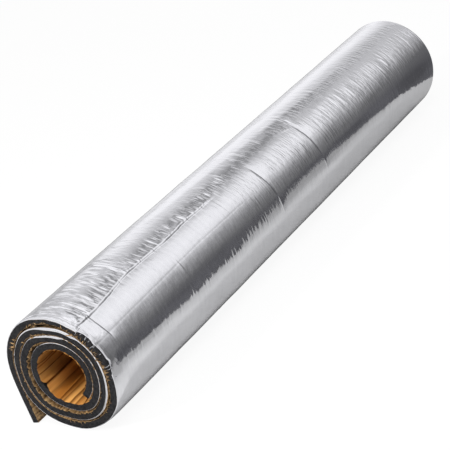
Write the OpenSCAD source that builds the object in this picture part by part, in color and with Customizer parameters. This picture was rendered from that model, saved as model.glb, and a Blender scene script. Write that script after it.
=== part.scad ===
// Sound deadening mat, wound into a loose roll that lies on its side.
// Millimetres. +Z is up, the roll's axis runs along Y and its front end faces -Y.
// The mat is one strip: foam, with foil bonded to the side that faces out and a
// paper release liner over the adhesive on the side that faces in. Its outer end
// leaves the roll as a straight tail that comes down to the surface.

/* [Mat] */
// Width of the mat, which is the length of the roll
mat_width = 1000; // [300:10:1500]
// Thickness of the foam
foam_thickness = 9.5; // [3:0.5:15]
// Thickness of the foil facing
foil_thickness = 0.2; // [0.1:0.05:0.5]
// Thickness of the release liner with its adhesive
liner_thickness = 0.2; // [0.1:0.05:0.5]

/* [Roll] */
// Radius of the bore, to the liner
bore_radius = 38; // [30:1:80]
// How far the inner end of the mat curls into the bore
inner_curl = 5; // [0:0.5:8]
// Whole turns of the mat, before the last part turn
whole_turns = 3; // [2:1:4]
// Looseness of the winding, as a factor on the air gaps between the turns
looseness = 1; // [0.6:0.1:1.5]

/* [Ends of the mat] */
// Where the inner end lies around the roll, from +X towards +Z
inner_end_angle = -45; // [-75:5:-30]
// Where the outer end leaves the roll, from +X towards +Z
tail_angle = 195; // [175:1:200]

/* [Hidden] */

// Air gap from each turn to the next one out, at every eighth of a turn from the inner
// end. The turns lie close at the upper right and hang open at the left and below.
turn_gaps = [
  2, 0.3, 0.3, 0.3, 4.5, 6.5, 9.5, 5.5,
  2, 0.3, 0.3, 1, 2, 0.4, 1.6, 4.5,
  3.5, 6, 5.5, 6, 0.8, 0.3, 0.3
];
// Angle between two entries of that list
gap_step = 45;
// Angle over which the inner end's curl runs out
curl_span = 90;
// Angle over which the first turn climbs onto the inner end
climb_span = 60;
// Angle between two neighbouring points along the winding
point_step = 5;

mat_thickness = liner_thickness + foam_thickness + foil_thickness;
// Angle wound from the inner end to where the tail leaves the roll
wound_angle = 360 * whole_turns + tail_angle - inner_end_angle;

// Smooth step from 0 at x = 0 to 1 at x = 1
function ease(x) = let (c = max(0, min(1, x))) c * c * (3 - 2 * c);

function listed_gap(i) = looseness * turn_gaps[min(i, len(turn_gaps) - 1)];

// Air gap outside the mat, where it has wound through the angle t
function gap_at(t) =
  let (i = floor(t / gap_step), share = ease(t / gap_step - i))
  listed_gap(i) * (1 - share) + listed_gap(i + 1) * share;

climb = mat_thickness + gap_at(0) - inner_curl;

// Radius of the liner's bare side, where the mat has wound through the angle t
function winding_radius(t) =
  t < 360
    ? bore_radius - inner_curl * (1 - ease(t / curl_span))
      + climb * ease((t - 360 + climb_span) / climb_span)
    : winding_radius(t - 360) + mat_thickness + gap_at(t - 360);

function winding_point(t) =
  let (a = inner_end_angle + t, r = winding_radius(t)) [r * cos(a), r * sin(a)];

// Direction of the winding at the angle t, measured over one degree
function winding_direction(t) =
  let (d = winding_point(t + 0.5) - winding_point(max(0, t - 0.5))) d / norm(d);

// The direction turned to face out of the roll
function outward(d) = [d[1], -d[0]];

wound_points = [for (t = [0 : point_step : wound_angle - point_step / 2]) winding_point(t)];
wound_normals = [
  for (t = [0 : point_step : wound_angle - point_step / 2]) outward(winding_direction(t))
];

tail_root = winding_point(wound_angle);
tail_direction = winding_direction(wound_angle);
tail_normal = outward(tail_direction);

// The surface is level with the lowest point of the roll itself, and the tail ends on it
surface_z = min([
  for (i = [0 : len(wound_points) - 1]) wound_points[i][1] + mat_thickness * wound_normals[i][1]
]);
tail_length = (tail_root[1] + mat_thickness * tail_normal[1] - surface_z) / -tail_direction[1];

path_points = concat(wound_points, [tail_root, tail_root + tail_length * tail_direction]);
path_normals = concat(wound_normals, [tail_normal, tail_normal]);

// Line that lies a given distance outside the liner's bare side
function offset_line(distance) =
  [for (i = [0 : len(path_points) - 1]) path_points[i] + distance * path_normals[i]];

function reversed(list) = [for (i = [len(list) - 1 : -1 : 0]) list[i]];

outside_x = [for (p = offset_line(mat_thickness)) p[0]];
// The origin lies on the surface, under the middle of the roll's width
middle_x = (min(outside_x) + max(outside_x)) / 2;

// One layer of the mat, from one distance outside the liner's bare side to another
module layer(from, to) {
  translate([-middle_x, mat_width / 2, -surface_z])
    rotate([90, 0, 0])
      linear_extrude(mat_width)
        polygon(concat(offset_line(to), reversed(offset_line(from))));
}

module foam_mat() {
  color("#33373d") layer(liner_thickness, liner_thickness + foam_thickness);
}

module foil_facing() {
  color("#c9cacf") layer(liner_thickness + foam_thickness, mat_thickness);
}

module release_liner() {
  color("#b98346") layer(0, liner_thickness);
}

foam_mat();
foil_facing();
release_liner();
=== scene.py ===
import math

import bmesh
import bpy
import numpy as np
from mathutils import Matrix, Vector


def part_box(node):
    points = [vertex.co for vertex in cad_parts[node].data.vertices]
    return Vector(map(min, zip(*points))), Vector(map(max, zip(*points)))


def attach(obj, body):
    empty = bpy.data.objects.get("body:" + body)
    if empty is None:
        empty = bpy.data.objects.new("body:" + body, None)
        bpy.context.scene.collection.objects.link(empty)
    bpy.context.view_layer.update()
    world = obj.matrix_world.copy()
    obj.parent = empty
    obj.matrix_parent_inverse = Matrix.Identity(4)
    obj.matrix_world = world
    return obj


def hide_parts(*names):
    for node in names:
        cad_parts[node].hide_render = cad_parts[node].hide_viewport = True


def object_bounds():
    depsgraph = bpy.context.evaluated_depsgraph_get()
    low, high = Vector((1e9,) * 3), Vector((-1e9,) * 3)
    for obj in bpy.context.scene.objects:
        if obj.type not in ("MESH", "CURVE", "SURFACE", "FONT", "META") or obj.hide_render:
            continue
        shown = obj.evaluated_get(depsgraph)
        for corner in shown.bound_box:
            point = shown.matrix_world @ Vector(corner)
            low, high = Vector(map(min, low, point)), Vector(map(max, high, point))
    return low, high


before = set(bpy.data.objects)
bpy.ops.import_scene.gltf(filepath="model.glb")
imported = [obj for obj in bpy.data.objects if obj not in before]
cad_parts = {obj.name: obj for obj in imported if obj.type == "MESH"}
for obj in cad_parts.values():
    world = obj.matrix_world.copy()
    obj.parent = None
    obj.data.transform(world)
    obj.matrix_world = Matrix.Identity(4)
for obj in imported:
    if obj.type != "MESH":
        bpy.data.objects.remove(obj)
cad_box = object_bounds()

# The looks of a sound deadening mat that is wound into a loose roll. Each layer of the mat
# is a sheet that follows the winding read from the CAD foam, so that every piece lies
# where its CAD node does. A place on the mat is (s, y): s runs along the winding from
# the inner end to the tail, and y along the roll. Depth runs from the foam's inner side
# towards the foil. Lengths are in metres, or in mm where it says so, and angles in degrees.

MM = 0.001
WELD = 0.01 * MM
# Thickness of the two thin layers
FOIL = 0.2 * MM
LINER = 0.15 * MM
# How near the bore's paper may come to the axis
OPEN_BORE = 25 * MM

# --- Small helpers ---------------------------------------------------------


def ease(x):
    """Smooth step from 0 at x = 0 to 1 at x = 1."""
    x = np.clip(x, 0, 1)
    return x * x * (3 - 2 * x)


def noise(u, v, seed):
    """Smooth noise from about -1 to 1 with one wave for about each two units of u and v."""
    size = 97
    turns = np.random.default_rng(seed).uniform(0, 2 * math.pi, (size, size))
    u, v = np.broadcast_arrays(u, v)
    i, j = np.floor(u).astype(int), np.floor(v).astype(int)
    fu, fv = u - i, v - j

    def slope(di, dj):
        turn = turns[(i + di) % size, (j + dj) % size]
        return np.cos(turn) * (fu - di) + np.sin(turn) * (fv - dj)

    to_full_range = 1.6
    wu, wv = ease(fu), ease(fv)
    low = slope(0, 0) * (1 - wu) + slope(1, 0) * wu
    high = slope(0, 1) * (1 - wu) + slope(1, 1) * wu
    return to_full_range * (low * (1 - wv) + high * wv)


def spaced(first, last, spacing):
    """Stations from first to last. spacing(x) is how far apart they lie at x."""
    x = np.linspace(first, last, 20001)
    count = np.concatenate([[0], np.cumsum(np.diff(x) / spacing(x[:-1]))])
    return np.interp(np.linspace(0, count[-1], max(2, round(count[-1]) + 1)), count, x)


# --- The winding, read from the CAD foam's front end -----------------------


def front_outline(node):
    """The outline of a CAD node's front end, in order, as (x, z) rows."""
    bm = bmesh.new()
    bm.from_mesh(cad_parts[node].data)
    bmesh.ops.remove_doubles(bm, verts=bm.verts, dist=WELD)
    front = min(v.co.y for v in bm.verts) + WELD
    neighbours = {}
    for edge in bm.edges:
        flat_faces = sum(all(v.co.y < front for v in face.verts) for face in edge.link_faces)
        if flat_faces == 1 and all(v.co.y < front for v in edge.verts):
            a, b = edge.verts
            neighbours.setdefault(a.index, []).append(b.index)
            neighbours.setdefault(b.index, []).append(a.index)
    bm.verts.ensure_lookup_table()
    walk = [min(neighbours)]
    step = neighbours[walk[0]][0]
    while step != walk[0]:
        walk.append(step)
        step = next((n for n in neighbours[step] if n != walk[-2]), walk[0])
    outline = np.array([(bm.verts[i].co.x, bm.verts[i].co.z) for i in walk])
    bm.free()
    return outline


def layer_sides(node):
    """(inner side, outer side) of a wound layer, each as (x, z) rows from bore to tail."""
    outline = front_outline(node)
    ahead = np.roll(outline, -1, axis=0) - outline
    behind = outline - np.roll(outline, 1, axis=0)
    cross = behind[:, 0] * ahead[:, 1] - behind[:, 1] * ahead[:, 0]
    turned = np.degrees(np.arctan2(np.abs(cross), (ahead * behind).sum(axis=1)))
    sharp = 45
    corners = np.flatnonzero(turned > sharp)
    outline = np.roll(outline, -corners[0], axis=0)
    stops = [*(corners - corners[0]), len(outline)]
    closed = np.concatenate([outline, outline[:1]])
    runs = [closed[a : b + 1] for a, b in zip(stops, stops[1:])]
    sides = [run if run[0, 1] > run[-1, 1] else run[::-1] for run in runs if len(run) > 2]
    return sorted(sides, key=lambda side: np.hypot(*np.diff(side, axis=0).T).sum())


INNER_SIDE, OUTER_SIDE = layer_sides("foam_mat")
ACROSS = OUTER_SIDE - INNER_SIDE
FOAM_DEPTH = float(np.hypot(*ACROSS.T).mean())
middle_line = (INNER_SIDE + OUTER_SIDE) / 2
KNOTS = np.concatenate([[0], np.cumsum(np.hypot(*np.diff(middle_line, axis=0).T))])
LENGTH = float(KNOTS[-1])
FRONT, BACK = (corner.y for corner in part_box("foam_mat"))


def on_knots(values, s):
    """Smooth curve through the values at the knots, at the places s."""
    slopes = np.gradient(values, KNOTS, axis=0)
    i = np.clip(np.searchsorted(KNOTS, s) - 1, 0, len(KNOTS) - 2)
    h = (KNOTS[i + 1] - KNOTS[i])[:, None]
    u = (s - KNOTS[i])[:, None] / h
    return (
        values[i] * (1 + 2 * u) * (1 - u) ** 2
        + values[i + 1] * u * u * (3 - 2 * u)
        + slopes[i] * h * u * (1 - u) ** 2
        - slopes[i + 1] * h * u * u * (1 - u)
    )


# The axis of the winding, as (x, z), and each side's place round it: the angle from +X towards
# +Z, unwound so that the outermost turn ends below 360, and the distance from the axis
AXIS = np.array([1.5, 79]) * MM


def round_the_axis(side):
    angle = np.degrees(np.unwrap(np.arctan2(*(side - AXIS).T[::-1])))
    return angle - 360 * math.floor(angle[-2] / 360), np.hypot(*(side - AXIS).T)


INNER_ANGLE, INNER_RADIUS = round_the_axis(INNER_SIDE)
OUTER_ANGLE, OUTER_RADIUS = round_the_axis(OUTER_SIDE)
# Where the foil starts to be the roll's outside, with some to spare, and the length in which
# its wrinkles start there
OUTERMOST = float(np.interp(-195, OUTER_ANGLE, KNOTS))
FADE_IN = 30 * MM
# Radius of the outermost turn and the length of one degree of it, in mm
TURN_RADIUS = 84
ARC = math.radians(TURN_RADIUS)


def angle_at(s):
    """Angle round the axis, from -165 to 195 on the outermost turn and less further in."""
    return np.interp(s, KNOTS, OUTER_ANGLE)


def room_below(s):
    """Air between the mat's inner side and the turn below it, or what the bore can spare."""
    angle = np.interp(s, KNOTS, INNER_ANGLE)
    below = np.interp(angle - 360, OUTER_ANGLE, OUTER_RADIUS, left=OPEN_BORE)
    return np.interp(s, KNOTS, INNER_RADIUS) - below - FOIL - LINER


def place(s, y, depth, along=0):
    """Points of the mat, where along moves a point along the roll. s is a row of places,
    and y and depth hold a value for each point."""
    start = on_knots(INNER_SIDE, s)
    normal = on_knots(ACROSS, s)
    normal = normal / np.hypot(*normal.T)[:, None]
    depth = depth + mat_shift(s[:, None], y)
    x = start[:, None, 0] + normal[:, None, 0] * depth
    z = start[:, None, 1] + normal[:, None, 1] * depth
    y, x, z = np.broadcast_arrays(y + along + end_shift(s[:, None], y), x, z)
    return np.stack([x, y, z], axis=-1)


# --- Shape of the mat as a whole -------------------------------------------


def from_end(y):
    """Distance from the nearer end of the roll."""
    return np.minimum(y - FRONT, BACK - y)


# How far the outermost turn is pressed in at the front rim, as (angle, mm), and how far in
# from the rim that reaches
RIM_BEND = [
    (-125, 0), (-98, 1.5), (-65, 2.8), (-45, 1.2), (-25, 0.6), (-10, 2.2), (5, 3.2), (18, 4.2),
    (38, 4), (58, 2.6), (80, 1), (95, 0.2),
]
RIM_REACH = 26 * MM


def mat_shift(s, y):
    """How far the whole mat lies off its CAD place, outwards."""
    angle, bend = np.array(RIM_BEND, float).T
    bend = np.interp(angle_at(s), angle, bend, left=0, right=0) * MM
    bend = np.minimum(bend, 0.85 * room_below(s))
    near = np.clip(1 - (y - FRONT) / RIM_REACH, 0, 1)
    return -bend * near**2


def end_shift(s, y):
    """The turns' ends aren't quite in line: how far each lies in from its CAD place."""
    recess = (1 + 0.6 * noise(s / (70 * MM), 0.5 + 0 * s, 3)) * MM
    fade = ease(1 - from_end(y) / (50 * MM))
    return np.where(y < 0, recess, -recess) * fade


# --- Meshes ----------------------------------------------------------------


def quads(grid, flip=False):
    """Faces between neighbours of a grid of vertex numbers."""
    a, b, c, d = grid[:-1, :-1], grid[1:, :-1], grid[1:, 1:], grid[:-1, 1:]
    faces = np.stack([a, d, c, b] if flip else [a, b, c, d], axis=-1).reshape(-1, 4)
    return faces.tolist()


def zipped(coarse, fine, matches, flip=False):
    """Faces between a coarse row of vertices and a fine one that holds its stations."""
    faces = []
    for j in range(len(coarse) - 1):
        face = [coarse[j], *fine[matches[j] : matches[j + 1] + 1], coarse[j + 1]]
        faces.append([int(v) for v in (face[::-1] if flip else face)])
    return faces


def make_piece(name, points, faces, places, material, node):
    """A smooth mesh that stands for a CAD node. places holds (s, y) for each point."""
    mesh = bpy.data.meshes.new(name)
    mesh.from_pydata(points, [], faces)
    mesh.shade_smooth()
    corner_points = np.zeros(len(mesh.loops), np.int32)
    mesh.loops.foreach_get("vertex_index", corner_points)
    layer = mesh.uv_layers.new(name="mat")
    layer.data.foreach_set("uv", places[corner_points].astype(np.float32).ravel())
    mesh.materials.append(material)
    piece = bpy.data.objects.new(name, mesh)
    bpy.context.scene.collection.objects.link(piece)
    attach(piece, "root")
    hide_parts(node)
    return piece


def joined(parts):
    """One (points, faces, places) from several."""
    points, faces, places, count = [], [], [], 0
    for more_points, more_faces, more_places in parts:
        points.append(more_points)
        faces += [[v + count for v in face] for face in more_faces]
        places.append(more_places)
        count += len(more_points)
    return np.concatenate(points), faces, np.concatenate(places)


def strip(path, widths, thickness=0.2):
    """A thin closed strip along a path of (angle, mm from the front, mm from the inner side).
    The widths are in mm, one for each point of the path."""
    angle, y, depth = np.array(path, float).T
    s = np.interp(angle, OUTER_ANGLE, KNOTS)
    middle = place(s, FRONT + y[:, None] * MM, depth[:, None] * MM)[:, 0]
    ahead = np.gradient(middle, axis=0)
    ahead /= np.linalg.norm(ahead, axis=1)[:, None]
    outward = np.stack([np.cos(np.radians(angle)), -1.4 + 0 * s, np.sin(np.radians(angle))], axis=-1)
    across = np.cross(ahead, outward)
    across /= np.linalg.norm(across, axis=1)[:, None]
    normal = np.cross(across, ahead) * thickness / 2 * MM
    across = across * np.array(widths, float)[:, None] / 2 * MM
    corners = [across + normal, across - normal, -across - normal, -across + normal]
    points = np.stack([middle + corner for corner in corners], axis=1).reshape(-1, 3)
    faces = []
    for k in range(0, len(points) - 4, 4):
        for a, b in ((0, 1), (1, 2), (2, 3), (3, 0)):
            faces.append([k + a, k + b, k + b + 4, k + a + 4])
    last = len(points) - 4
    faces += [[3, 2, 1, 0], [last, last + 1, last + 2, last + 3]]
    places = np.repeat(np.stack([s, y * MM], axis=-1), 4, axis=0)
    return points, faces, places


def tears(seed, count, angles, reaches, widths, foot=0.0):
    """Torn bits that hang on an edge at the front end and lie on the cut foam. They reach from
    the foot's depth to the foot and the reach, in mm."""
    rng = np.random.default_rng(seed)
    out = []
    for _ in range(count):
        angle, width = rng.uniform(*angles), rng.uniform(*widths)
        sway = rng.normal(0, 0.9) * np.array([0, 0.2, 0.6, 1]) + rng.normal(0, 0.1, 4)
        depth = foot + rng.uniform(*reaches) * np.array([0, 0.15, 0.6, 1])
        y = [1.6, -0.1, -0.5 - rng.uniform(0, 0.4), 0.1]
        path = np.stack([angle + sway, y, depth], axis=-1)
        out.append(strip(path, width * np.array([1, 1, 0.7, 0.15])))
    return out


def places_of(s, y):
    """(s, metres from the front) for each point of a grid, which the materials read."""
    s, y = np.broadcast_arrays(s[:, None], y)
    return np.stack([s, y - FRONT], axis=-1).reshape(-1, 2)


# --- Foil ------------------------------------------------------------------


def coarse_stations():
    """Places along the roll at which a layer's hidden turns have points, close at the ends."""
    near = FRONT + np.array([0, 0.4, 0.9, 1.5, 2.4, 4, 7, 12, 20, 40, 90]) * MM
    return np.concatenate([near, [0.0], -near[::-1]])


# How deep the foil rolls in over the foam's front edge, as (angle, mm) for the outermost turn
# and for each turn inside it
ROLLED_EDGES = [
    [(-165, 0.6), (-20, 0.5), (20, 0.8), (56, 1.2), (61, 4.4), (100, 4.2), (114, 2), (125, 0.8)],
    [
        (-165, 1.2), (-100, 1.2), (-60, 1.8), (-30, 2.6), (0, 2.2), (24, 1.5), (34, 1.1),
        (55, 1.3), (62, 3.6), (98, 3.6), (110, 2.4), (122, 2), (150, 2), (190, 1.8),
    ],
    [
        (-165, 0.4), (-78, 0.4), (-65, 0.7), (0, 0.6), (50, 0.6), (72, 0.9), (80, 3.4),
        (106, 3.4), (118, 2), (128, 0.8), (190, 0.6),
    ],
    [(-165, 0.3), (60, 0.5), (78, 0.9), (110, 1), (120, 0.4)],
]


def rolled_edge(s):
    table = [(a - 360 * k, d) for k, edge in enumerate(ROLLED_EDGES) for a, d in edge]
    angle, depth = np.array(sorted(table), float).T
    uneven = 1 + 0.12 * noise(s / 0.016, 0.5 + 0 * s, 5)
    return np.interp(angle_at(s), angle, depth) * uneven * MM


def foil_drop(s, y):
    """How far the foil rolls in over the foam's edge at the cut ends."""
    back_depth = 0.6 * MM
    depth = np.where(y < 0, rolled_edge(s), back_depth)
    length = 0.9 * depth + 1 * MM
    u = np.clip(from_end(y) / length, 0, 1)
    return depth * (1 - np.sqrt(1 - (1 - u) ** 2))


# Long folds across the foil: (points as (angle, mm from the front), height, half width in mm).
# Each is steep on its near side. A fold of less than no height is a groove.
CROSS_FOLDS = [
    ([(68, 29.5), (48, 30), (31, 33)], -1.2, 1.8),
    ([(112, 20), (96, 26), (80, 28), (60, 29.5)], -1.1, 2.4),
    ([(60, 17), (50, 16), (38, 17)], -0.5, 1.6),
    ([(90, 34), (74, 33), (62, 33.5)], -0.6, 1.5),
    ([(112, 138), (100, 131), (85, 129), (64, 130)], 1.1, 3.0),
    ([(110, 143), (98, 136), (82, 134.5), (64, 135.5)], -1.3, 1.8),
    ([(100, 146), (90, 141), (80, 141.5), (70, 142)], -0.5, 1.8),
    ([(98, 92), (88, 88), (74, 84)], -0.45, 1.8),
    ([(94, 103), (84, 100), (72, 99)], 0.35, 1.8),
    ([(96, 62), (82, 58), (68, 57)], 0.35, 2.0),
    ([(90, 46), (76, 44), (66, 45)], -0.35, 1.7),
    ([(70, 440), (55, 441), (35, 444), (18, 446), (-4, 446)], -1.2, 2.2),
    ([(93, 466), (82, 464), (71, 461)], -0.6, 1.8),
    ([(78, 583), (66, 584), (40, 586), (20, 587), (2, 588)], -1.2, 2.3),
    ([(78, 591), (64, 590), (56, 592)], 0.7, 1.8),
    ([(92, 602), (82, 590), (74, 584)], -0.5, 1.8),
    ([(86, 395), (72, 396)], -0.5, 1.7),
    ([(88, 347), (74, 350)], 0.4, 1.8),
    ([(88, 512), (72, 509)], -0.6, 1.7),
    ([(88, 521), (76, 520)], -0.5, 1.7),
    ([(62, 510), (40, 513)], -0.22, 1.7),
    ([(58, 744), (48, 745), (36, 748)], 0.5, 1.7),
    ([(60, 711), (46, 713), (36, 716)], 0.4, 1.6),
    ([(52, 849), (40, 851), (33, 853)], 0.42, 1.6),
    ([(56, 869), (38, 872)], 0.4, 1.6),
    ([(0, 338), (-22, 342)], 0.3, 2.0),
    ([(-4, 378), (-20, 383)], -0.3, 2.0),
    ([(0, 535), (-22, 538)], 0.25, 2.0),
    ([(8, 128), (-16, 131)], -0.3, 2.0),
]

# Long folds along the foil: (points as (mm from the front, angle), height, half width in mm)
LONG_FOLDS = [
    ([(0, 37), (60, 38.5), (150, 39.5), (250, 41), (375, 40)], -0.1, 1.0),
    ([(8, 28), (60, 29), (110, 29)], -0.28, 1.2),
    ([(12, 50), (24, 50.5)], -0.2, 1.2),
    ([(30, 28), (200, 26), (400, 24)], 0.08, 3.0),
    ([(255, 95), (290, 93), (400, 90), (500, 85), (590, 82), (700, 78), (800, 77)], 0.3, 4.0),
    ([(540, 70), (582, 62)], 0.25, 2.2),
    ([(590, 73), (700, 70)], 0.2, 3.0),
    ([(30, 67.5), (90, 69), (130, 70), (200, 69), (230, 71), (255, 75)], 0.3, 1.6),
]

# The one fold that lies over: its foot, as (mm from the front, angle)
RIB_FOOT = [
    (0, 59.5), (40, 59), (77, 61), (118, 64.2), (133, 64.6), (175, 63.8), (214, 63), (241, 63.4),
    (270, 64.4), (310, 63.4), (345, 63.4),
]


def fold(distance, half_width):
    return np.exp(-((distance / half_width) ** 2))


def crease(distance, half_width):
    """Steep on the near side, and slow to level out on the far side."""
    after = np.exp(-np.clip(distance, 0, None) / (3.5 * half_width))
    return np.where(distance < 0, fold(distance, half_width), after)


def cross_folds(angle, y):
    """y in mm from the front."""
    height = 0 * angle * y
    for points, rise, half_width in CROSS_FOLDS:
        at, line = np.array(sorted(points), float).T
        middle, half = (at[0] + at[-1]) / 2, (at[-1] - at[0]) / 2
        strength = ease((half - np.abs(angle - middle)) / (0.45 * half))
        path = np.interp(angle, at, line)
        wander = 0.5 * noise(angle / 5, line[0] + 0 * angle, 11)
        height = height + rise * strength * crease(y - path - wander, half_width)
    return height


def long_folds(angle, y):
    height = 0 * angle * y
    for points, rise, half_width in LONG_FOLDS:
        at, line = np.array(points, float).T
        strength = ease((y - at[0] + 12) / 12) * ease((at[-1] + 25 - y) / 50)
        path = np.interp(y, at, line) + 0.3 * noise(y / 14, line[0] + 0 * y, 12)
        height = height + rise * strength * fold(ARC * (angle - path), half_width)
    return height


# Its profile, as (mm over the foot, height in mm): a steep edge, a flat flank and a long back
RIB_PROFILE = [(-0.8, 0), (1.4, 1.5), (2.8, 1.75), (3.4, 1.75), (6.5, 0.85), (11, 0)]


def rib(angle, y):
    """A pinch of foil that lies over towards lower angles."""
    at, line = np.array(RIB_FOOT, float).T
    foot = np.interp(y, at, line) + 0.35 * noise(y / 12, 0.5 + 0 * y, 13)
    over, height = np.array(RIB_PROFILE, float).T
    strength = ease((at[-1] + 15 - y) / 60) * (0.85 + 0.3 * noise(y / 25, 2.5 + 0 * y, 14))
    return strength * np.interp(ARC * (angle - foot), over, height)


# Fields of short folds that run round the roll: (seed, how many, angles, mm from the front,
# heights in mm, half widths in mm, half lengths in degrees)
SHORT_FOLDS = [
    (21, 210, (-165, 195), (2, 400), (0.04, 0.2), (1.4, 3.0), (8, 24)),
    (29, 320, (-165, 195), (400, 998), (0.015, 0.06), (1.3, 2.4), (8, 24)),
    (22, 320, (65, 80), (120, 400), (0.12, 0.4), (0.9, 1.35), (3, 8)),
    (23, 150, (66, 90), (395, 700), (0.08, 0.32), (1.4, 2.2), (4, 10)),
    (24, 90, (32, 62), (640, 908), (0.1, 0.3), (0.7, 1.0), (5, 14)),
    (34, 60, (30, 62), (430, 640), (0.08, 0.2), (1.2, 1.6), (5, 14)),
    (25, 120, (5, 19), (4, 400), (0.1, 0.38), (1.1, 1.9), (3, 6)),
    (30, 80, (3, 16), (400, 660), (0.06, 0.22), (1.1, 1.9), (3, 6)),
    (28, 50, (-4, 10), (640, 800), (0.06, 0.2), (1.4, 2), (3, 6)),
    (33, 60, (-10, 12), (790, 990), (0.2, 0.5), (1.8, 2.6), (3, 6)),
    (32, 110, (18, 38), (4, 998), (0.05, 0.18), (1.0, 2.2), (5, 18)),
    (26, 24, (20, 70), (955, 996), (0.05, 0.16), (1.0, 1.8), (8, 16)),
    (27, 130, (61, 92), (4, 125), (0.1, 0.42), (0.8, 1.3), (3, 9)),
    (31, 70, (84, 114), (6, 150), (0.06, 0.28), (0.9, 1.5), (2, 8)),
]


def short_folds(angle, y):
    """angle is a column, and y is a row, in mm from the front."""
    height = 0 * angle * y
    for seed, count, angles, places, rises, half_widths, half_lengths in SHORT_FOLDS:
        rng = np.random.default_rng(seed)
        for _ in range(count):
            middle, start = rng.uniform(*angles), rng.uniform(*places)
            rise = rng.uniform(*rises) * rng.choice([-0.6, 1, 1])
            half_width, half_length = rng.uniform(*half_widths), rng.uniform(*half_lengths)
            slant, bow = rng.normal(0, 0.05), rng.normal(0, 1.2)
            reach = 3 * half_width + 3 * abs(bow) + 4
            near = np.abs(y[0] - start) < reach
            if not near.any():
                continue
            u = (angle - middle) / half_length
            path = start + slant * (angle - middle) + bow * u * u
            height[:, near] += rise * ease(1 - np.abs(u)) * fold(y[:, near] - path, half_width)
    return height


def crumple(angle, y):
    """Creased patches and a gentle unevenness everywhere."""
    round_mm = ARC * angle
    end = ease((30 - y) / 12) * ease((angle - 34) / 12) * ease((118 - angle) / 20)
    patch = ease((150 - y) / 30) * ease((angle - 62) / 6) * ease((118 - angle) / 15)
    small = 1 - 2 * np.abs(noise(round_mm / 5.5, y / 4.5, 31))
    medium = 1 - 2 * np.abs(noise(round_mm / 16, y / 9, 32))
    wide = noise(round_mm / 45, y / 60, 33)
    fine = 1 - 2 * np.abs(noise(round_mm / 7, y / 4, 34))
    return 0.5 * end * small + patch * (0.16 * medium + 0.12 * fine) + 0.3 * wide


def sink(s, y):
    """How far the foam lies below its CAD face under the wrinkled foil."""
    outermost = ease((s - OUTERMOST) / FADE_IN)
    return 1.2 * MM * outermost * ease(from_end(y) / (8 * MM))


def foil_relief(s, y):
    """Height of the outermost turn's foil over its smooth shape."""
    angle = angle_at(s)
    y = (y - FRONT) / MM
    height = cross_folds(angle, y) + long_folds(angle, y) + rib(angle, y)
    height = height + short_folds(angle, y) + crumple(angle, y)
    clear_of_floor = ease((angle + 80) / 25) + ease((-100 - angle) / 25)
    lowest = -0.15 * MM - sink(s, y * MM + FRONT)
    return ((0.12 + height * np.clip(clear_of_floor, 0.1, 1)) * MM).clip(lowest)


# How far the foil's front edge is torn back, as (angle, mm)
TORN_EDGE = [(-40, 0.1), (9, 0.2), (13, 2.4), (20, 3.6), (30, 2.8), (53, 2.2), (59, 0.1)]


def foil_edge(s, y):
    """How far the torn edge lies in from the cut end, fading out along the roll."""
    angle, torn = np.array(TORN_EDGE, float).T
    torn = np.interp(angle_at(s), angle, torn)
    torn = torn * (1 + 0.6 * noise(s / 0.0045, 0.5 + 0 * s, 41)) * MM
    return torn * np.clip(1 - (y - FRONT) / (14 * MM), 0, 1) ** 1.5


# Where the outermost turn's points lie closer, as (first, last, spacing in mm): round the roll
# in degrees, and along it in mm from the front
FINE_ANGLES = [(-28, 112, 3.5), (35.5, 42.5, 1.0), (58.5, 66.5, 0.6)]
FINE_STRETCHES = [
    (0, 8, 0.7), (22, 38, 0.9), (38, 123, 1.3), (123, 141, 0.9), (141, 400, 1.25),
    (437, 450, 0.9), (580, 593, 0.9), (690, 910, 1.8), (992, 1000, 0.9),
]


def finer_in(stretches, x, step):
    for first, last, finer in stretches:
        step = np.where((x >= first) & (x <= last), finer, step)
    return step * MM


def outer_stations():
    """Places along the winding at which the outermost turn has points."""
    return spaced(OUTERMOST, LENGTH, lambda s: finer_in(FINE_ANGLES, angle_at(s), 8))


def fine_stations():
    """Places along the roll at which the outermost turn's foil has points."""
    fine = spaced(FRONT, BACK, lambda y: finer_in(FINE_STRETCHES, (y - FRONT) / MM, 2.8))
    return np.unique(np.concatenate([fine, coarse_stations()]))


# Threads of foil that hang down over the outermost turn's rim, as (angle, the depth that they
# reach down to in mm, width in mm)
FOIL_THREADS = [
    (14, 5, 0.35), (17, 2, 0.5), (38, 1, 0.55), (49, 5, 0.35), (57.5, 2, 0.55), (4, 7.5, 0.35),
]


def foil_threads():
    """Each starts on the foil, bends over the rim and hangs in front of the cut foam."""
    rng = np.random.default_rng(61)
    parts = []
    for angle, end, width in FOIL_THREADS:
        sway = np.linspace(0, rng.normal(0, 1.2), 6) + rng.normal(0, 0.08, 6)
        y = [7, 1.6, -0.2, -0.45, -0.6, -0.4]
        depth = [10.1, 10.3, 9.6, 7 + 0.3 * end, 3.5 + 0.65 * end, end]
        path = np.stack([angle + sway, y, depth], axis=-1)
        parts.append(strip(path, width * np.array([0.5, 1, 1, 0.9, 0.8, 0.4])))
    parts += tears(62, 5, (20, 60), (-3, -0.8), (0.3, 0.6), 9.8)
    return parts


def inner_stations():
    """The foam has these too, so that the foil's rolled edges lie flat on it."""
    return spaced(0, OUTERMOST, lambda s: 3 * MM + 0 * s)


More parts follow.
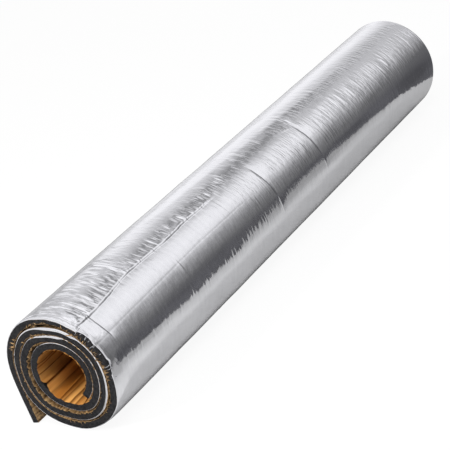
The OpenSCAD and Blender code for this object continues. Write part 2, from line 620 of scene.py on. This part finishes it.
def foil_piece(material):
    """One closed sheet, finely divided where it is the outermost turn."""
    s_outer = outer_stations()
    s_inner = inner_stations()
    y_coarse = coarse_stations()
    y_fine = fine_stations()
    matches = np.searchsorted(y_fine, y_coarse)
    s_all = np.concatenate([s_inner, s_outer[1:]])

    def block(s, y, lift):
        y = y[None, :]
        depth = FOAM_DEPTH - foil_drop(s[:, None], y) + lift
        return place(s, y, depth, foil_edge(s[:, None], y)), places_of(s, y)

    fade = ease((s_outer - s_outer[0]) / FADE_IN)[:, None]
    relief = foil_relief(s_outer[:, None], y_fine[None, :]) * fade
    blocks = [
        block(s_inner[:-1], y_coarse, FOIL),
        block(s_outer, y_fine, FOIL + relief),
        block(s_all, y_coarse, -sink(s_all[:, None], y_coarse[None, :])),
    ]
    # At the seam the fine stations lie on the straight lines between the coarse ones
    seam = blocks[1][0][0]
    for axis in range(3):
        seam[:, axis] = np.interp(y_fine, y_coarse, seam[matches, axis])
    starts = np.cumsum([0] + [b[0].shape[0] * b[0].shape[1] for b in blocks])
    inner, outer, under = (
        start + np.arange(b[0].shape[0] * b[0].shape[1]).reshape(b[0].shape[:2])
        for start, b in zip(starts, blocks)
    )
    points = np.concatenate([b[0].reshape(-1, 3) for b in blocks])
    places = np.concatenate([b[1] for b in blocks])
    faces = quads(inner) + zipped(inner[-1], outer[0], matches, flip=True) + quads(outer)
    faces += quads(under, flip=True)
    for edge, flip in ((0, True), (-1, False)):
        top = np.concatenate([inner[:, edge], outer[:, edge]])
        faces += quads(np.stack([top, under[:, edge]], axis=1), flip)
    faces += quads(np.stack([inner[0], under[0]]), True)
    faces += zipped(under[-1], outer[-1], matches, flip=False)
    points, faces, places = joined([(points, faces, places), *foil_threads()])
    return make_piece("foil", points, faces, places, material, "foil_facing")


# --- Foam ------------------------------------------------------------------


def foam_piece(material):
    """One closed ring of rows: the inner side, the back end, the outer side, the front end."""
    s = np.concatenate([inner_stations(), outer_stations()[1:]])
    y_side = coarse_stations()
    up = np.linspace(0, 1, 9)[1:-1]
    y = np.concatenate([y_side, 0 * up + BACK, y_side[::-1], 0 * up + FRONT])[None, :]
    share = np.concatenate([0 * y_side, up, 0 * y_side + 1, up[::-1]])[None, :]
    y = np.repeat(y, len(s), axis=0)
    drop = foil_drop(s[:, None], y)
    tucked = 0.12 * MM * ease(drop / (0.5 * MM))
    depth = share * (FOAM_DEPTH - drop - tucked - sink(s[:, None], y))
    # The knife leaves the foam's cut ends a little rough
    cut = np.isin(share, up) * np.where(y < 0, 1, -1)
    rough = 0.25 * (1 + noise(s[:, None] / 0.004, share * 4 + 10 * (y > 0), 6)) * MM
    set_back = np.where((share == 1) & (y == FRONT), 0.4 * MM, 0)
    points = place(s, y, depth, cut * rough + set_back)
    grid = np.arange(points.shape[0] * points.shape[1]).reshape(points.shape[:2])
    ring = np.concatenate([grid, grid[:, :1]], axis=1)
    faces = quads(ring, flip=True)
    faces += [grid[0].tolist(), grid[-1][::-1].tolist()]
    piece = make_piece(
        "foam", points.reshape(-1, 3), faces, places_of(s, y), material, "foam_mat"
    )
    return piece


# --- Release liner ---------------------------------------------------------


# Pleats that run along the bore where the paper has let go of the foam:
# (angle at the front, height in mm, half width in mm)
PLEATS = [
    (-38, 3, 2.6), (-22, 4.5, 3), (-6, 2, 1.6), (6, 3, 2), (24, 5, 3), (45, 2, 1.6), (62, 5.5, 3),
    (72, 2, 1.4), (96, 5.5, 3), (104, 2, 1.2), (128, 5, 2.8), (137, 2, 1.2), (158, 5.5, 3),
    (167, 2, 1.2), (182, 2.4, 1.6), (203, 9, 4.5), (226, 1.2, 1.6), (244, 3, 2), (256, 1.5, 1.2),
    (268, 3.5, 2.4), (281, 2.5, 1.8), (296, 5.5, 3.4),
]

HIGHEST_PLEAT = max(rise for _, rise, _ in PLEATS)
# How many degrees of the winding line the bore
BORE_TURN = 345

# How loose the paper's front edge hangs, from 0 to 1, by the angle round the axis
LOOSE_EDGE = [
    (-768, 1), (-765, 0.6), (-720, 0.6), (-700, 0.15), (-612, 0.1), (-600, 1), (-440, 1),
    (-425, 0.5), (-362, 0.4), (-340, 0.7), (-290, 0.7), (-280, 0.1), (-268, 0.1), (-262, 1),
    (-240, 1), (-232, 0.4), (-165, 0.2), (-100, 0.15), (-97, 0.9), (-84, 0.9), (-75, 0.2),
    (-68, 0.1), (-48, 0.1), (-45, 1), (-27, 1), (-24, 0.4), (8, 0.5), (10, 0.9), (55, 0.9),
    (60, 0.15), (88, 0.1), (92, 0.6), (116, 0.6), (120, 0.1), (140, 0.1), (142, 0.9), (156, 0.9),
    (160, 0), (180, 0), (192, 0.5),
]


def looseness(s):
    angle, loose = np.array(LOOSE_EDGE, float).T
    return np.interp(angle_at(s), angle, loose)


def pleats(s, y):
    """Height of the paper over the foam, which the air below the mat limits, and how much painted
    shade darkens the paper beside each pleat in the bore and above the highest one, from 0 to 1."""
    angle = angle_at(s) - angle_at(np.array([0.0]))
    height = 0 * s * y
    painted_shade = 0 * s * y
    first = OUTER_ANGLE[0]
    rng = np.random.default_rng(51)
    places = []
    for middle, rise, half_width in PLEATS:
        lead = (middle - first) % 360
        places.append((lead, rise, half_width))
    lead = BORE_TURN
    while lead < OUTER_ANGLE[-1] - first:
        lead += rng.uniform(3, 8)
        places.append((lead, rng.uniform(1, 6), rng.uniform(0.5, 1.5)))
    for k, (lead, rise, half_width) in enumerate(places):
        radius = np.interp(lead + first, INNER_ANGLE, INNER_RADIUS)
        drift = 3.5 * noise((y - FRONT) / 0.09, 0.5 + 3 * k + 0 * y, 53)
        off = np.radians(angle - lead) * radius / MM + drift
        fade = 0.7 + 0.5 * noise((y - FRONT) / 0.05, 1.5 + 3 * k + 0 * y, 54)
        if lead < BORE_TURN:
            # Painted shade on the paper beside each pleat in the bore, wider on its higher-angle
            # side
            beside = np.exp(-((off / np.where(off < 0, 0.9, 2.6)) ** 2))
            painted_shade = np.maximum(painted_shade, (0.62 + 0.12 * rise) * (0.4 + 0.6 * fade) * beside)
            if rise == HIGHEST_PLEAT:
                # Painted shade makes all the paper above the highest pleat darker and duller than
                # the paper below it
                painted_shade = np.maximum(painted_shade, 0.5 * ease((angle - 180) / 20) * (off < 0))
        # Each pleat leans over towards lower angles
        off = np.where(off < 0, off / 0.6, off / 1.5)
        bent = np.exp(0.35 - np.sqrt((off / half_width) ** 2 + 0.12))
        if rise < HIGHEST_PLEAT and lead < BORE_TURN:
            # The smaller pleats in the bore start a little way in
            bent = bent * (0.3 + 0.7 * ease((y - FRONT) / 0.014))
        height = np.maximum(height, rise * fade * bent)
    small = 0.3 * np.abs(noise(s / 0.005, (y - FRONT) / 0.02, 55))
    loose = looseness(s)
    held = loose + (1 - loose) * ease((y - FRONT) / (7 * MM))
    free = 1.6 * MM * loose * (1 - (y - FRONT) / (1.5 * MM)).clip(0)
    lift = np.minimum((height + small) * held * MM, 0.9 * room_below(s) + free).clip(0)
    return lift, painted_shade.clip(0, 1)


def liner_edge(s, y):
    """The paper's front edge is ragged."""
    torn = looseness(s) * (-0.5 + 0.9 * noise(s / 0.005, 0.5 + 0 * s, 56))
    return torn * MM * ease(1 - (y - FRONT) / (8 * MM))


def liner_stations():
    near = np.array([0, 0.8, 2, 4, 6.5, 10, 14, 19, 25, 32, 40, 50, 62, 76, 92, 120, 170, 260]) * MM
    return np.concatenate([FRONT + near, [0.0], BACK - near[::-1]])


# Torn spikes of paper on the front edge, as (angle, length in mm, width in mm): they point
# towards the axis, or outwards where the length is less than 0
PAPER_SPIKES = [
    (-538, 4, 2), (-523, 3.5, 1.6), (-512, 3, 1.4), (-487, 4, 1.8), (-475, 3, 1.6), (-445, 2.5, 1.4),
    (-420, -2.2, 1.6), (-385, -2, 1.4), (-377, -1.6, 1.2), (-258, 2.4, 1.8), (-250, 2.6, 1.6),
    (-243, -2, 1.4), (-222, -2.6, 1.6), (-214, 1.8, 1.2), (-178, -2.6, 1.8), (-168, -1.6, 1.2),
    (-98, -3, 1.6), (-93, -1.6, 1.2), (-84, -3.4, 1.6), (-79, -2, 1.2), (-44, 2.4, 1.4),
    (-41, -2, 1.4), (-37, 2, 1.4), (-33, -1.8, 1.4), (-29, 2.4, 1.6), (-26, -2.4, 1.2),
    (12, -3.5, 2), (17, -4.5, 2.4), (21, -3, 2), (92, -2.4, 1.4), (97, 1.8, 1.2), (104, -2.6, 1.6),
    (111, -2, 1.4), (143, -4, 1.8), (148, -5.5, 2), (153, -4.5, 1.8), (156, -2, 1.2),
]


# Torn bits of paper, as tears() takes them: (seed, how many, angles, reaches and widths in mm)
PAPER_TEARS = [
    (71, 30, (2, 78), (0.8, 4.5), (0.6, 1.8)),
    (76, 40, (6, 62), (2, 8), (0.25, 0.6)),
    (72, 8, (88, 118), (0.6, 2), (0.8, 2.2)),
    (73, 8, (141, 157), (1, 6), (0.6, 1.6)),
    (74, 10, (-268, -238), (-2, 2), (0.6, 1.4)),
    (75, 16, (-600, -440), (-4, -1), (0.8, 2)),
]


def paper_scraps():
    parts = []
    for angle, length, width in PAPER_SPIKES:
        path = [(angle - 1.2, 2, -0.1), (angle - 0.4, 0.2, -0.2), (angle, -0.9, -0.45 * length)]
        path.append((angle + 0.9, -0.6, -length))
        parts.append(strip(path, [width, width, 0.7 * width, 0.15]))
    flake = [(60, -0.5, 0.4), (62, -0.8, -1.5), (65, -1, -4), (68, -0.7, -7)]
    parts.append(strip(flake, [0.6, 1.5, 1.3, 0.5]))
    for field in PAPER_TEARS:
        parts += tears(*field)
    return parts


def liner_piece(material):
    """One closed sheet, more finely divided in the inner turns, and the scraps on its edge."""
    inner_half = 0.75
    s = spaced(0, LENGTH, lambda s: np.where(s < inner_half, 1.1, 1.8) * MM)
    y = liner_stations()[None, :]
    lift, painted_shade = pleats(s[:, None], y)
    along = liner_edge(s[:, None], y)
    bare = place(s, y, -LINER - lift, along)
    glued = place(s, y, -lift, along)
    count = bare.shape[0] * bare.shape[1]
    top = np.arange(count).reshape(bare.shape[:2])
    under = top + count
    points = np.concatenate([bare.reshape(-1, 3), glued.reshape(-1, 3)])
    places = np.concatenate([places_of(s, y)] * 2)
    faces = quads(top, flip=True) + quads(under)
    for edge, flip in ((0, False), (-1, True)):
        faces += quads(np.stack([top[:, edge], under[:, edge]], axis=1), flip)
        faces += quads(np.stack([top[edge], under[edge]]), not flip)
    points, faces, places = joined([(points, faces, places), *paper_scraps()])
    piece = make_piece("liner", points, faces, places, material, "release_liner")
    # The painted shade beside the pleats goes to the material as a point attribute
    values = np.zeros(len(points), np.float32)
    values[: 2 * count] = np.tile(painted_shade.ravel(), 2)
    piece.data.attributes.new("painted_shade", "FLOAT", "POINT").data.foreach_set("value", values)
    return piece


# --- Materials -------------------------------------------------------------


def feed(tree, sockets, values):
    """Set inputs to their values, or link them where a value is another node's output."""
    for socket, value in zip(sockets, values):
        if isinstance(value, bpy.types.NodeSocket):
            tree.links.new(value, socket)
        else:
            socket.default_value = value


def feed_named(tree, node, **values):
    """Feed inputs by their names, with _ for a space."""
    feed(tree, [node.inputs[name.replace("_", " ")] for name in values], values.values())
    return node


def add_node(tree, kind, **values):
    return feed_named(tree, tree.nodes.new("ShaderNode" + kind), **values)


def math_node(tree, operation, *values):
    node = add_node(tree, "Math")
    node.operation = operation
    feed(tree, node.inputs, values)
    return node.outputs[0]


def step_node(tree, value, start, end):
    """Smooth step from 0 at the start to 1 at the end."""
    node = add_node(tree, "MapRange", Value=value, From_Min=start, From_Max=end)
    node.interpolation_type = "SMOOTHSTEP"
    return node.outputs["Result"]


def mix_colors(tree, share, a, b):
    node = add_node(tree, "Mix")
    node.data_type = "RGBA"
    feed(tree, [s for s in node.inputs if s.enabled], (share, a, b))
    return next(s for s in node.outputs if s.enabled)


def mix_shaders(tree, share, a, b):
    node = add_node(tree, "MixShader")
    feed(tree, node.inputs, (share, a, b))
    return node.outputs[0]


def parts_of(tree, vector):
    """The outputs X, Y and Z."""
    return add_node(tree, "SeparateXYZ", Vector=vector).outputs


def noise_node(tree, place, scale, detail=2.0, roughness=0.5):
    values = {"Vector": place, "Scale": scale, "Detail": detail, "Roughness": roughness}
    return add_node(tree, "TexNoise", **values).outputs["Fac"]


def stretched_noise(tree, place, across, along, detail=2.0, roughness=0.5):
    """Noise with waves of these lengths in metres, across the roll's length and along it."""
    node = add_node(tree, "VectorMath")
    node.operation = "MULTIPLY"
    feed(tree, node.inputs, (place, (1 / across, 1 / along, 1)))
    return noise_node(tree, node.outputs[0], 1, detail, roughness)


def own_place(tree):
    """A point's place in its object's frame, in metres."""
    return add_node(tree, "TexCoord").outputs["Object"]


def add_bump(tree, shader, height, distance):
    """Bump whose height runs from 0 to the distance in metres."""
    bump = add_node(tree, "Bump", Distance=distance, Height=height)
    feed_named(tree, shader, Normal=bump.outputs[0])


def new_material(name, roughness, metallic=0.0):
    """(material, its node tree, its shader, the place on the mat in metres)."""
    material = bpy.data.materials.new(name)
    material.use_nodes = True
    tree = material.node_tree
    shader = tree.nodes["Principled BSDF"]
    shader.inputs["Roughness"].default_value = roughness
    shader.inputs["Metallic"].default_value = metallic
    uv = add_node(tree, "UVMap")
    uv.uv_map = "mat"
    return material, tree, shader, uv.outputs["UV"]


def foil_material():
    material, tree, shader, place = new_material("foil", 0.12, 1.0)
    tone = stretched_noise(tree, place, 0.03, 0.006, 4, 0.6)
    color = mix_colors(tree, tone, (0.79, 0.79, 0.82, 1), (0.95, 0.95, 0.97, 1))
    streaks = stretched_noise(tree, place, 0.035, 0.0036)
    creases = stretched_noise(tree, place, 0.012, 0.007)
    fine = stretched_noise(tree, place, 0.007, 0.0026)
    height = math_node(tree, "MULTIPLY_ADD", fine, 0.4, streaks)
    # The foil is smoothest on the front part of the roll and low on the right
    around, along, _ = parts_of(tree, place)
    patches = step_node(tree, stretched_noise(tree, place, 0.03, 0.11, 1), 0.34, 0.62)
    back = math_node(tree, "MULTIPLY_ADD", step_node(tree, along, 0.3, 0.46), 0.65, 0.3)
    low, high = (float(np.interp(a, OUTER_ANGLE, KNOTS)) for a in (6, 28))
    up = math_node(tree, "MULTIPLY_ADD", step_node(tree, around, low, high), 0.6, 0.4)
    rough = math_node(tree, "MULTIPLY_ADD", patches, 0.7, 0.35)
    rough = math_node(tree, "MULTIPLY", math_node(tree, "MULTIPLY", rough, back), up)
    height = math_node(tree, "MULTIPLY", height, rough)
    soft = math_node(tree, "MULTIPLY", creases, math_node(tree, "MULTIPLY_ADD", up, 0.7, 0.1))
    feed_named(tree, shader, Base_Color=color)
    add_bump(tree, shader, math_node(tree, "ADD", soft, height), 0.0004)
    return material


def foam_material():
    material, tree, shader, _ = new_material("foam", 0.85)
    shader.inputs["Specular IOR Level"].default_value = 0.35
    cells = noise_node(tree, own_place(tree), 450, 4, 0.7)
    spread = step_node(tree, cells, 0.34, 0.7)
    color = mix_colors(tree, spread, (0.003, 0.003, 0.0036, 1), (0.021, 0.0205, 0.022, 1))
    feed_named(tree, shader, Base_Color=color)
    add_bump(tree, shader, cells, 0.0005)
    return material


def liner_material():
    material, tree, shader, place = new_material("liner", 0.5)
    tone = stretched_noise(tree, place, 0.02, 0.25, 4, 0.55)
    spread = step_node(tree, tone, 0.38, 0.62)
    bore = mix_colors(tree, spread, (0.32, 0.12, 0.02, 1), (0.62, 0.31, 0.085, 1))
    # Painted shade: the paper is darker and duller beside the pleats and above the highest one
    attribute = add_node(tree, "Attribute")
    attribute.attribute_name = "painted_shade"
    painted_shade = attribute.outputs["Fac"]
    bore = mix_colors(tree, painted_shade, bore, (0.06, 0.017, 0.003, 1))
    shine = math_node(tree, "MULTIPLY_ADD", painted_shade, -0.4, 0.45)
    fine = step_node(tree, stretched_noise(tree, place, 0.004, 0.025, 3), 0.36, 0.64)
    turns = mix_colors(tree, fine, (0.09, 0.048, 0.018, 1), (0.38, 0.24, 0.11, 1))
    # Painted shade: the paper of the outer turns, which lies in the gaps between them, is darker and
    # greyer than the bore's
    between = step_node(tree, parts_of(tree, place)["X"], 0.26, 0.3)
    color = mix_colors(tree, between, bore, turns)
    feed_named(tree, shader, Base_Color=color, Specular_IOR_Level=shine)
    add_bump(tree, shader, stretched_noise(tree, place, 0.003, 0.006, 3), 0.0003)
    return material


# --- Studio ----------------------------------------------------------------


def make_camera():
    """A long lens that looks down at the near end from the right, and leans to the left."""
    low, high = (Vector(corner) for corner in cad_box)
    # The photo isn't centred on the roll
    off_centre = Vector((-0.033, -0.0417, -0.0328))
    target = (low + high) / 2 + off_centre
    azimuth, elevation, lean = (math.radians(a) for a in (35.38, 24.35, -13.31))
    distance = 2.164
    level = Vector((math.cos(azimuth), math.sin(azimuth), 0))
    towards_camera = Vector((level.y, -level.x, 0))
    back = towards_camera * math.cos(elevation) + Vector((0, 0, math.sin(elevation)))
    raised = back.cross(level)
    right = level * math.cos(lean) + raised * math.sin(lean)
    up = back.cross(right)
    data = bpy.data.cameras.new("camera")
    data.lens = 116.9
    data.sensor_width = 36
    camera = bpy.data.objects.new("camera", data)
    bpy.context.scene.collection.objects.link(camera)
    turn = Matrix((right, up, back)).transposed().to_4x4()
    camera.matrix_world = Matrix.Translation(target + back * distance) @ turn
    bpy.context.scene.camera = camera


# What the foil reflects, by the angle round the roll's axis, from +X towards +Z: a low dark
# room, a wide soft box above, a gap over the roll and a pale wall on the left. The columns are
# the brightness that the near half of the roll shows, that its far end shows, and that the
# folds show, which mirror what is beside and above the roll.
SKY = [
    (0, 0.12, 0.09, 0.14),
    (14, 0.19, 0.12, 0.2),
    (26, 0.31, 0.19, 0.36),
    (38, 0.56, 0.27, 0.66),
    (50, 0.88, 0.37, 0.96),
    (62, 0.97, 0.46, 0.96),
    (74, 0.9, 0.46, 0.88),
    (86, 0.62, 0.49, 0.82),
    (98, 0.3, 0.62, 0.8),
    (110, 0.25, 0.73, 0.76),
    (122, 0.48, 0.7, 0.66),
    (134, 0.7, 0.78, 0.6),
    (146, 0.9, 0.9, 0.55),
    (158, 1.0, 0.98, 0.5),
    (170, 1.0, 1.0, 0.45),
    (180, 0.76, 0.76, 0.45),
]


def sky_ramp(tree, share, column):
    node = tree.nodes.new("ShaderNodeValToRGB")
    feed(tree, node.inputs, [share])
    stops = node.color_ramp.elements
    while len(stops) < len(SKY):
        stops.new(0.5)
    for stop, row in zip(stops, SKY):
        stop.position = row[0] / 180
        stop.color = (row[column], row[column], row[column] * 1.02, 1)
    return node.outputs[0]


def background(tree, color, strength=1.0):
    return add_node(tree, "Background", Color=color, Strength=strength).outputs[0]


def make_world():
    """White for the camera, the studio's soft boxes for the foil, and plain light for the
    rest. The two halves of the studio are the same but for their brightness, and lie half a
    turn apart round the Z axis."""
    world = bpy.data.worlds.new("studio")
    world.use_nodes = True
    tree = world.node_tree
    tree.nodes.clear()
    across, along, up = parts_of(tree, add_node(tree, "TexCoord").outputs["Generated"])
    ahead = math_node(tree, "MULTIPLY_ADD", step_node(tree, along, -0.1, 0.1), 2, -1)
    aside = math_node(tree, "MULTIPLY", across, ahead)
    share = math_node(tree, "DIVIDE", math_node(tree, "ARCTAN2", up, aside), math.pi)
    steep = math_node(tree, "ABSOLUTE", along)
    near, far, folds = (sky_ramp(tree, share, column) for column in (1, 2, 3))
    boxes = mix_colors(tree, step_node(tree, steep, 0.78, 0.86), near, far)
    boxes = mix_colors(tree, step_node(tree, steep, 0.72, 0.61), boxes, folds)
    boxes = mix_colors(tree, step_node(tree, steep, 0.9, 0.98), boxes, (0.2, 0.2, 0.21, 1))
    # A bright strip, which the near sides of the folds on top show
    strip_edges = (steep, 0.57, 0.47), (steep, 0.2, 0.3), (share, 0.34, 0.48)
    strip = 1.0
    for value, start, end in strip_edges:
        strip = math_node(tree, "MULTIPLY", strip, step_node(tree, value, start, end))
    boxes = mix_colors(tree, strip, boxes, (1.04, 1.04, 1.06, 1))
    # The half of the studio in front of the roll is brighter
    front_half = math_node(tree, "MULTIPLY", step_node(tree, along, 0.1, -0.1), 0.75)
    boxes = mix_colors(tree, front_half, boxes, (1, 1, 1.02, 1))
    # It is dimmer right across the roll
    dim = add_node(tree, "MapRange", Value=steep, From_Min=0.1, From_Max=0.35, To_Min=0.7)
    boxes = background(tree, boxes, dim.outputs["Result"])
    above = step_node(tree, up, 0, 0.9)
    plain = mix_colors(tree, above, (0.1, 0.1, 0.11, 1), (0.96, 0.96, 0.96, 1))
    path = add_node(tree, "LightPath").outputs
    lit = mix_shaders(tree, path["Is Glossy Ray"], background(tree, plain), boxes)
    seen = math_node(tree, "MAXIMUM", path["Is Camera Ray"], path["Is Transmission Ray"])
    shown = mix_shaders(tree, seen, lit, background(tree, (1, 1, 1, 1)))
    add_node(tree, "OutputWorld", Surface=shown)
    bpy.context.scene.world = world


def stage_object(name, points, faces):
    """A mesh of the studio, and the empty node tree of its material."""
    mesh = bpy.data.meshes.new(name)
    mesh.from_pydata(points, [], faces)
    thing = bpy.data.objects.new(name, mesh)
    bpy.context.scene.collection.objects.link(thing)
    material = bpy.data.materials.new(name)
    material.use_nodes = True
    material.node_tree.nodes.clear()
    mesh.materials.append(material)
    return thing, material.node_tree


def make_floor():
    """A plain pale floor that keeps the roll's shadow. For the foil it glows with painted light
    and painted shade.
    """
    half = 20
    corners = [(-half, -half, 0), (half, -half, 0), (half, half, 0), (-half, half, 0)]
    floor, tree = stage_object("floor", corners, [(0, 1, 2, 3)])
    lit = add_node(tree, "BsdfDiffuse", Color=(0.8, 0.8, 0.8, 1))
    path = add_node(tree, "LightPath").outputs
    others = math_node(tree, "MAXIMUM", path["Is Glossy Ray"], path["Is Transmission Ray"])
    across, along, _ = parts_of(tree, add_node(tree, "NewGeometry").outputs["Position"])
    # Painted reflection: for the foil the floor glows bright on the left, with a grey part that the
    # near end's upper edge shows, and dark elsewhere
    line = step_node(tree, math_node(tree, "MULTIPLY_ADD", across, 0.92, along), -0.45, -0.05)
    pale = mix_colors(tree, line, (0.4, 0.4, 0.41, 1), (0.8, 0.8, 0.82, 1))
    left = step_node(tree, across, -0.3, -0.6)
    painted_reflection = mix_colors(tree, left, (0.1, 0.1, 0.1, 1), pale)
    # Painted reflection: the floor in front of the roll glows bright for the turns' rolled edges
    behind = step_node(tree, along, -0.75, -0.55)
    painted_reflection = mix_colors(tree, behind, (0.93, 0.93, 0.94, 1), painted_reflection)
    glow = add_node(tree, "Emission", Color=mix_colors(tree, others, (1, 1, 1, 1), painted_reflection))
    # The foil also shows the light that falls on the floor, but less of it far out and right
    #     under the roll, and none in front. There it shows more of the painted glow, which paints
    #     shade far out on the right and right under the roll
    out = math_node(tree, "ABSOLUTE", across)
    further = math_node(tree, "MULTIPLY_ADD", step_node(tree, out, 0.12, 0.32), 0.26, 0.48)
    under = math_node(tree, "MULTIPLY_ADD", step_node(tree, out, 0.055, 0.04), 0.28, further)
    patchy = noise_node(tree, own_place(tree), 14)
    uneven = math_node(tree, "MULTIPLY_ADD", patchy, 0.3, 0.85)
    less = math_node(tree, "MULTIPLY_ADD", under, uneven, -1)
    foil_share = math_node(tree, "MULTIPLY_ADD", behind, less, 1)
    for_camera = math_node(tree, "MULTIPLY", path["Is Camera Ray"], 0.92)
    share = math_node(tree, "MULTIPLY_ADD", others, foil_share, for_camera)
    shown = mix_shaders(tree, share, lit.outputs[0], glow.outputs[0])
    add_node(tree, "OutputMaterial", Surface=shown)


# The foot of the low dark screen on the right, which only the foil shows, as (x, y) in metres
SCREEN_FOOT = [
    (0.55, -0.27), (0.4, -0.2), (0.35, -0.15), (0.27, -0.13), (0.265, -0.07), (0.29, 0.046),
    (0.36, 0.18), (0.52, 0.48), (0.8, 0.9), (0.8, 1.0), (0.54, 0.66), (0.45, 0.6),
    (0.36, 0.55), (0.31, 0.547), (0.265, 0.557), (0.234, 0.561), (0.19, 0.557),
    (0.157, 0.563), (0.139, 0.572), (0.118, 0.583), (0.103, 0.601),
]
SCREEN_HEIGHT = 0.14


def make_screen():
    points = [(x, y, z) for x, y in SCREEN_FOOT for z in (0.002, SCREEN_HEIGHT)]
    faces = [(k, k + 2, k + 3, k + 1) for k in range(0, len(points) - 2, 2)]
    screen, tree = stage_object("screen", points, faces)
    # Painted light: the screen glows a dim grey in place of the light that would fall on it, lighter
    # towards its top
    spread = step_node(tree, noise_node(tree, own_place(tree), 9), 0.3, 0.7)
    color = mix_colors(tree, spread, (0.065, 0.065, 0.07, 1), (0.12, 0.12, 0.13, 1))
    height = parts_of(tree, add_node(tree, "NewGeometry").outputs["Position"])["Z"]
    high = step_node(tree, height, 0.07, SCREEN_HEIGHT)
    color = mix_colors(tree, high, color, (0.135, 0.135, 0.14, 1))
    glow = add_node(tree, "Emission", Color=color)
    add_node(tree, "OutputMaterial", Surface=glow.outputs[0])
    screen.visible_camera = False
    screen.visible_diffuse = False
    screen.visible_shadow = False


def make_lamp(name, location, size, power):
    """A soft lamp that the foil doesn't mirror. It points at the middle of the roll."""
    data = bpy.data.lights.new(name, "AREA")
    data.shape = "RECTANGLE"
    data.size, data.size_y = size
    data.energy = power
    lamp = bpy.data.objects.new(name, data)
    lamp.location = location
    roll_middle = Vector((0, 0, 0.08))
    aim = roll_middle - Vector(location)
    lamp.rotation_euler = aim.to_track_quat("-Z", "Y").to_euler()
    lamp.visible_glossy = False
    bpy.context.scene.collection.objects.link(lamp)


scene = bpy.context.scene
scene.view_settings.view_transform = "Standard"

foil_piece(foil_material())
foam_piece(foam_material())
liner_piece(liner_material())

make_world()
make_floor()
make_screen()
make_lamp("key", (0.9, -1.1, 1.9), (0.9, 0.9), 30)
make_lamp("front", (-0.6, -1.9, 1.3), (0.25, 0.25), 32)
make_camera()
